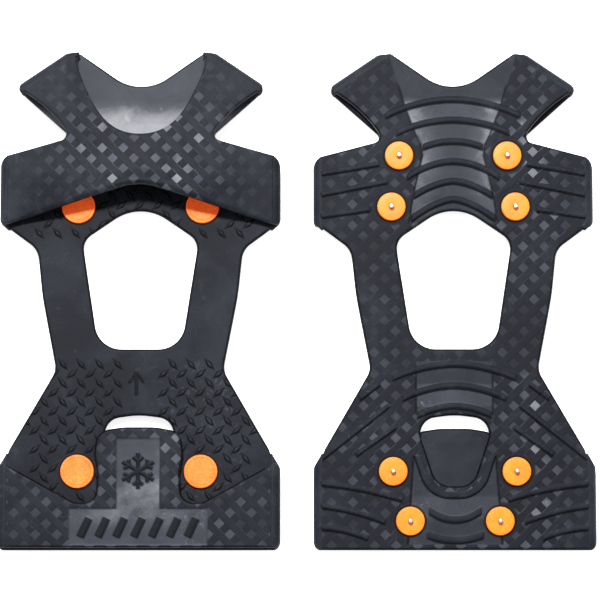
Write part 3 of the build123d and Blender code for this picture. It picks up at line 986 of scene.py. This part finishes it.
def build_rubber():
    sole = Sheet([pull_in(sole_loops[0])] + sole_loops[1:])
    harness = Sheet([pull_in(harness_loops[0])])
    band = Sheet([pull_in(band_with_tab())])
    hole_tree = tree_of(sole_loops[2:3])

    x, y = sole.xy.T
    tread_height, tread_gloss_and_sheen, tread_woven, tread_dark = tread(x, y, distances(sole.xy, hole_tree))
    foot_height, foot_gloss_and_sheen, grip, foot_dark = foot_side(x, y)
    sole_skin = sole.skin(SOLE_UNDER + RUBBER / 2, RUBBER / 2 + foot_height, RUBBER / 2 + tread_height)
    sole_values = {
        "gloss": sole.both(foot_gloss_and_sheen, tread_gloss_and_sheen),
        "woven": sole.both(0 * x, tread_woven),
        "grip": sole.both(grip, 0 * x),
        "darkness": sole.both(np.maximum(foot_dark, sole.rim_shade()), np.maximum(tread_dark, sole.rim_shade())),
    }

    hx, hy = harness.xy.T
    strap_height, strap_gloss_and_sheen, strap_woven, strap_dark = strap_side(hx, hy)
    plain = np.zeros_like(hx)
    tree = BVHTree.FromObject(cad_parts["left_toe_harness"], bpy.context.evaluated_depsgraph_get())
    middle_y = hy[np.abs(hx) < 0.1]
    probes = [middle_y.min() + 1, middle_y.max() - 1]
    crowns = []
    for probe in probes:
        hit = tree.ray_cast(Vector((-CLEAT_X * MM, probe * MM, 1)), Vector((0, 0, -1)))[0]
        crowns.append(hit.z / MM - STRAP_TOP)
    slope = (crowns[1] - crowns[0]) / (probes[1] - probes[0])
    amount = crowns[0] + (hy - probes[0]) * slope
    arch = amount * smooth(1 - np.abs(hx) / (HALF_WIDTH + RUBBER))
    wing = FOLDS["toe"][0]
    mirrored = np.column_stack([np.abs(hx), hy])
    inland = -((mirrored - wing.point) @ wing.out) - FOLD_OUTER + FOLD_TUCK
    arch *= ramp(inland, 0, 22)
    rear = harness_loops[0][(np.abs(harness_loops[0][:, 0]) < 55) & (harness_loops[0][:, 1] < TOE - 58)]
    rear = rear[rear[:, 0].argsort()]
    rear_edge_y = np.interp(hx, *rear.T)
    flare = REAR_FLARE * (1 - ramp(hy - rear_edge_y, 0, 9)) * (1 - ramp(np.abs(hx), 30, 58))

    bx, by = band.xy.T
    band_height, band_gloss_and_sheen, band_woven, band_dark = band_side(bx, by)

    for side in ("left", "right"):
        points, faces = sole_skin
        points = draw_back(points) if side == "right" else points
        piece = make_piece(f"{side}_sole_rubber", side, points, faces, sole_values, RUBBER_LOOK)
        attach(piece, f"{side}_sole")
        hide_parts(f"{side}_sole")

        lift = arch + flare if side == "left" else 0
        middle = STRAP_UNDER + RUBBER / 2 + lift + plain
        points, faces = harness.skin(middle, RUBBER / 2 + strap_height, RUBBER / 2 + plain)
        if side == "left":
            points = lean_rear_edge(points, harness.both(rear_edge_y, rear_edge_y), harness.both(middle, middle))
            points = draw_back(points)
        values = {
            "gloss": harness.both(strap_gloss_and_sheen, plain + 0.2),
            "woven": harness.both(strap_woven, plain),
            "darkness": harness.both(strap_dark, harness.rim_shade()),
        }
        piece = make_piece(f"{side}_harness_rubber", side, points, faces, values, RUBBER_LOOK)
        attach(piece, f"{side}_toe_harness")
        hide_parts(f"{side}_toe_harness")

        points, faces = band.skin(STRAP_UNDER + RUBBER / 2, RUBBER / 2 + band_height, RUBBER / 2 + 0 * bx)
        values = {
            "gloss": band.both(band_gloss_and_sheen, 0 * bx + 0.2),
            "woven": band.both(band_woven, 0 * bx),
            "darkness": band.both(np.maximum(band_dark, band.rim_shade()), band.rim_shade()),
        }
        # The middle of the band, with its tab, is made a piece of its own. Its ends stand as high as the tab but stay
        # with the band.
        middle = np.abs(points[faces].mean(1)[:, 0]) < VALLEY_HALF
        piece = make_piece(f"{side}_band_ends_rubber", side, *taken_out(points, faces, values, ~middle), RUBBER_LOOK)
        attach(piece, f"{side}_heel_band")
        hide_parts(f"{side}_heel_band")
        piece = make_piece(f"{side}_band_tab_rubber", side, *taken_out(points, faces, values, middle), RUBBER_LOOK)
        ends = place(side, np.array([[0, TAB_ROOT - TAB_BEND, STRAP_TOP], [0, TAB_ROOT + TAB_BEND, STRAP_TOP]]))
        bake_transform(piece)
        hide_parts(f"{side}_heel_band", f"{side}_pull_tab")

        for end, loop, body in (("toe", harness_loops[0], "toe_harness"), ("heel", band_loop, "heel_band")):
            for fold in FOLDS[end]:
                fold_piece(f"{side}_fold_{fold.name}", side, fold, sole_loops[0], loop, RUBBER_LOOK)


def arc(centre, radius, start, end, count=6):
    """Points (r, z) round a centre, between two angles in degrees."""
    return [
        (centre[0] + radius * math.cos(math.radians(t)), centre[1] + radius * math.sin(math.radians(t)))
        for t in np.linspace(start, end, count)
    ]


def turned(name, side, centre, profile, material, node, turns=72):
    """A round piece from its closed profile of (r, z) points, which starts and ends on the axis or is a ring."""
    spin = np.linspace(0, 2 * math.pi, turns, endpoint=False)
    points, rings = [], []
    for r, z in profile:
        if r < 1e-6:
            rings.append([len(points)] * turns)
            points.append((centre[0], centre[1], z))
        else:
            rings.append(list(range(len(points), len(points) + turns)))
            points += [(centre[0] + r * math.cos(t), centre[1] + r * math.sin(t), z) for t in spin]
    if profile[0][0] > 1e-6:
        rings.append(rings[0])
    faces = []
    for lower, upper in zip(rings[:-1], rings[1:]):
        for k in range(turns):
            m = (k + 1) % turns
            corners = [lower[k], lower[m], upper[m], upper[k]]
            corners = list(dict.fromkeys(corners))
            if len(corners) > 2:
                faces.append(corners)
    piece = make_piece(name, side, np.array(points), faces, {}, material)
    face_outwards(piece)
    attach(piece, f"{side}_sole")
    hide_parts(node)


def build_studs():
    for side in ("left", "right"):
        for number, centre in enumerate(STUDS, start=1):
            stem = f"{side}_stud_{number}"
            cap, disc, pin = CAP_RADIUS, DISC_RADIUS, PIN_RADIUS
            bore, socket = pin + SHANK_CLEARANCE, SHANK_RADIUS + SHANK_CLEARANCE
            groove = [(cap - 1.75, CAP_TOP), *arc((cap - 1.45, CAP_TOP), 0.22, 180, 360), (cap - 1.15, CAP_TOP)]
            profile = [(0, CAP_TOP)] + groove + arc((cap - 0.5, CAP_TOP - 0.5), 0.5, 90, 0)
            profile += [(cap, SOLE_TOP), (socket, SOLE_TOP), (socket, SHANK_TOP), (0, SHANK_TOP)]
            turned(f"{stem}_cap_button", side, centre, profile, CAP_LOOK, f"{stem}_cap")

            dimple = [(bore, DISC_UNDER + 0.22), (bore + 0.15, DISC_UNDER + 0.16), (bore + 0.5, DISC_UNDER + 0.03)]
            profile = dimple + [(bore + 0.8, DISC_UNDER)]
            profile += arc((disc - 0.5, DISC_UNDER + 0.5), 0.5, -90, 0)
            profile += [(disc, SOLE_UNDER), (SHANK_RADIUS, SOLE_UNDER), (SHANK_RADIUS, SHANK_TOP)]
            profile += [(HEAD_RADIUS + 0.05, SHANK_TOP), (HEAD_RADIUS + 0.05, HEAD_UNDER), (bore, HEAD_UNDER)]
            turned(f"{stem}_outer_disc", side, centre, profile, DISC_LOOK, f"{stem}_disc")

            profile = [(0, 0)] + arc((pin - 0.55, 0.55), 0.55, -90, 0)
            profile += [(pin, HEAD_UNDER), (HEAD_RADIUS, HEAD_UNDER), (HEAD_RADIUS, SHANK_TOP), (0, SHANK_TOP)]
            turned(f"{stem}_steel_pin", side, centre, profile, STEEL_LOOK, f"{stem}_pin", 32)


# ---------------------------------------------------------------- stage, light and camera


FLOOR_REACH = 3.0  # metres


def build_stage():
    mesh = bpy.data.meshes.new("floor")
    corners = ((-1, -1), (1, -1), (1, 1), (-1, 1))
    mesh.from_pydata([(x * FLOOR_REACH, y * FLOOR_REACH, 0) for x, y in corners], [], [(0, 1, 2, 3)])
    mesh.materials.append(floor_material())
    floor = bpy.data.objects.new("floor", mesh)
    bpy.context.scene.collection.objects.link(floor)


def soft_light(name, position, target, size, power):
    light = bpy.data.lights.new(name, "AREA")
    light.shape = "RECTANGLE"
    light.size, light.size_y = size
    light.energy = power
    lamp = bpy.data.objects.new(name, light)
    bpy.context.scene.collection.objects.link(lamp)
    lamp.location = position
    lamp.rotation_euler = (Vector(target) - Vector(position)).to_track_quat("-Z", "Y").to_euler()


def build_lights():
    soft_light("toe_key", (-0.12, 0.66, 1.46), (0, 0, 0), (0.2, 0.2), 46)
    soft_light("toe_softbox", (0.0, 1.5, 1.2), (0, 0.02, 0), (1.8, 0.8), 14)
    soft_light("heel_fill", (0.0, -1.5, 1.4), (0, 0, 0), (1.6, 0.7), 4)
    soft_light("left_fill", (-1.5, 0.1, 1.2), (0, 0, 0), (0.7, 1.4), 4)
    soft_light("right_fill", (1.5, 0.1, 1.2), (0, 0, 0), (0.7, 1.4), 6)
    world = bpy.data.worlds.new("studio")
    world.use_nodes = True
    world.node_tree.nodes["Background"].inputs["Color"].default_value = (1, 1, 1, 1)
    world.node_tree.nodes["Background"].inputs["Strength"].default_value = 0.32
    bpy.context.scene.world = world


CAMERA_DISTANCE = 1.5
CAMERA_TILT = math.radians(7)  # from straight down, towards the heel
VIEW_WIDTH = 0.2925
VIEW_CENTRE = Vector((0.0015, -0.0003, SOLE_TOP * MM))


def build_camera():
    camera = bpy.data.cameras.new("camera")
    camera.sensor_width = 36
    camera.lens = 36 * CAMERA_DISTANCE / VIEW_WIDTH
    view = bpy.data.objects.new("camera", camera)
    bpy.context.scene.collection.objects.link(view)
    view.location = VIEW_CENTRE + CAMERA_DISTANCE * Vector((0, -math.sin(CAMERA_TILT), math.cos(CAMERA_TILT)))
    view.rotation_euler = (CAMERA_TILT, 0, 0)
    bpy.context.scene.camera = view


build_rubber()
build_studs()
build_stage()
build_lights()
build_camera()
bpy.context.scene.view_settings.view_transform = "Standard"
